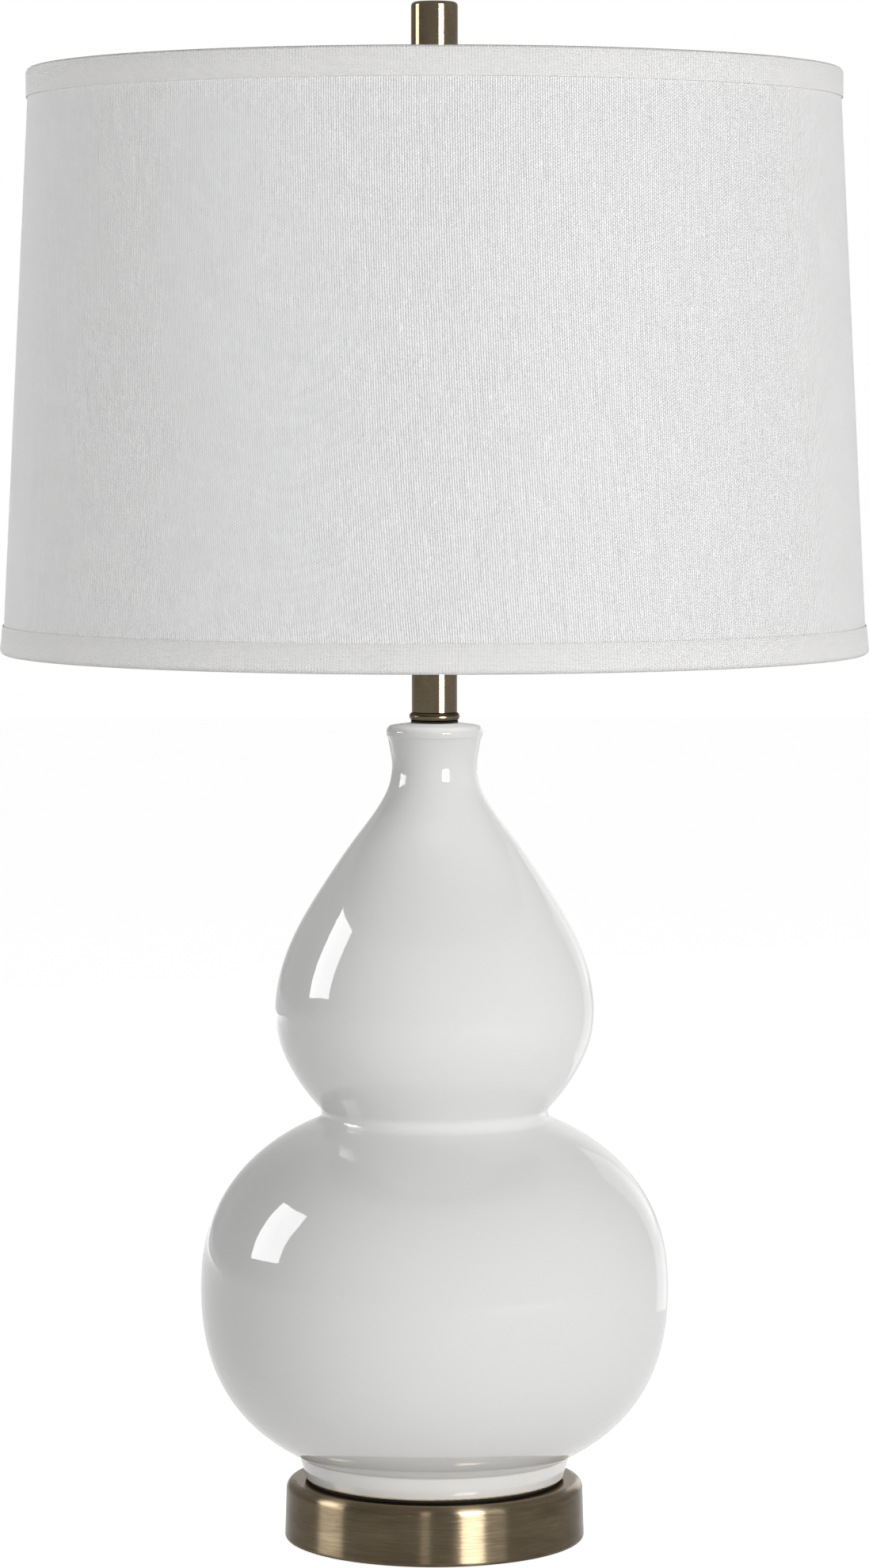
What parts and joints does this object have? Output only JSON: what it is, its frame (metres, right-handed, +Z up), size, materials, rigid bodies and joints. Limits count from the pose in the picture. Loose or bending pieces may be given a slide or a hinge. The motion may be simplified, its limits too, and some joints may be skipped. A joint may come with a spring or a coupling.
{
  "type": "table lamp",
  "caption": "Table lamp with a glazed ceramic double gourd body, a brushed metal base and neck, a drum shade on a harp and a cylindrical finial.",
  "frame": {"origin": "centre of the felt's underside, where the lamp stands", "axes": "+Z up along the lamp's axis, harp in the XZ plane, switch knob towards -Y, cord inlet towards +Y"},
  "size_m": [0.3809, 0.381, 0.6778],
  "materials": {
    "felt": "pressed felt",
    "board": "hardboard",
    "bronze": "brushed antique bronze",
    "cast_iron": "as cast",
    "black_plastic": "moulded",
    "zinc_steel": "zinc plated",
    "black_rubber": "matt",
    "glazed_ceramic": "gloss white glaze",
    "antique_brass": "satin",
    "socket_brass": "polished",
    "fibre": "fibre sleeve",
    "phenolic": "moulded",
    "bulb_metal": "rolled",
    "bulb_insulator": "vitrified",
    "frosted_glass": "inside frosted",
    "shade_linen": "plain linen weave",
    "shade_trim": "fine twill tape",
    "shade_liner": "styrene",
    "white_wire": "white enamel"
  },
  "bodies": {
    "stand": {"felt_pad": "felt", "base_plate": "board", "base_shell": "bronze", "base_weight": "cast_iron", "cord_bushing": "black_plastic", "bottom_washer": "zinc_steel", "star_washer": "zinc_steel", "rod_nuts": "zinc_steel", "threaded_rod": "zinc_steel", "foot_gasket": "black_rubber", "gourd_lower": "glazed_ceramic", "gourd_upper": "glazed_ceramic", "gourd_neck": "glazed_ceramic", "neck_washer": "black_rubber", "check_ring": "bronze", "neck_tube": "bronze", "tube_cap": "bronze", "harp_saddle": "antique_brass", "socket_cap": "socket_brass", "cap_set_screw": "zinc_steel", "socket_shell": "socket_brass", "socket_liner": "fibre", "socket_block": "phenolic", "terminal_screws": "socket_brass", "screw_shell": "bulb_metal", "centre_contact": "socket_brass"},
    "harp": {"harp_frame": "antique_brass", "harp_stud": "antique_brass"},
    "ferrule_left": {"ferrule_left": "antique_brass"},
    "ferrule_right": {"ferrule_right": "antique_brass"},
    "switch": {"switch_shaft": "zinc_steel", "switch_knob": "black_plastic"},
    "bulb": {"bulb_tip": "bulb_metal", "bulb_insulator": "bulb_insulator", "bulb_screw_cap": "bulb_metal", "bulb_glass": "frosted_glass"},
    "shade": {"shade_fabric": "shade_linen", "shade_liner": "shade_liner", "top_trim": "shade_trim", "bottom_trim": "shade_trim", "top_ring": "white_wire", "bottom_ring": "white_wire", "spider_hub": "white_wire", "spider_arm_1": "white_wire", "spider_arm_2": "white_wire", "spider_arm_3": "white_wire"},
    "finial": {"finial": "bronze"}
  },
  "joints": [
    {"name": "harp_lift", "type": "slide", "parent": "stand", "child": "harp", "axis": [0, 0, 1], "range_m": [0, 0.2]},
    {"name": "ferrule_left_slide", "type": "slide", "parent": "harp", "child": "ferrule_left", "axis": [0, 0, 1], "range_m": [0, 0.012]},
    {"name": "ferrule_right_slide", "type": "slide", "parent": "harp", "child": "ferrule_right", "axis": [0, 0, 1], "range_m": [0, 0.012]},
    {"name": "switch_turn", "type": "hinge", "parent": "stand", "child": "switch", "pos_m": [0, -0.025, 0.4609], "axis": [0, -1, 0], "continuous": true},
    {"name": "bulb_lift", "type": "slide", "parent": "stand", "child": "bulb", "axis": [0, 0, 1], "range_m": [0, 0.028]},
    {"name": "shade_lift", "type": "slide", "parent": "harp", "child": "shade", "axis": [0, 0, 1], "range_m": [0, 0.27]},
    {"name": "finial_lift", "type": "slide", "parent": "shade", "child": "finial", "axis": [0, 0, 1], "range_m": [0, 0.03]}
  ]
}
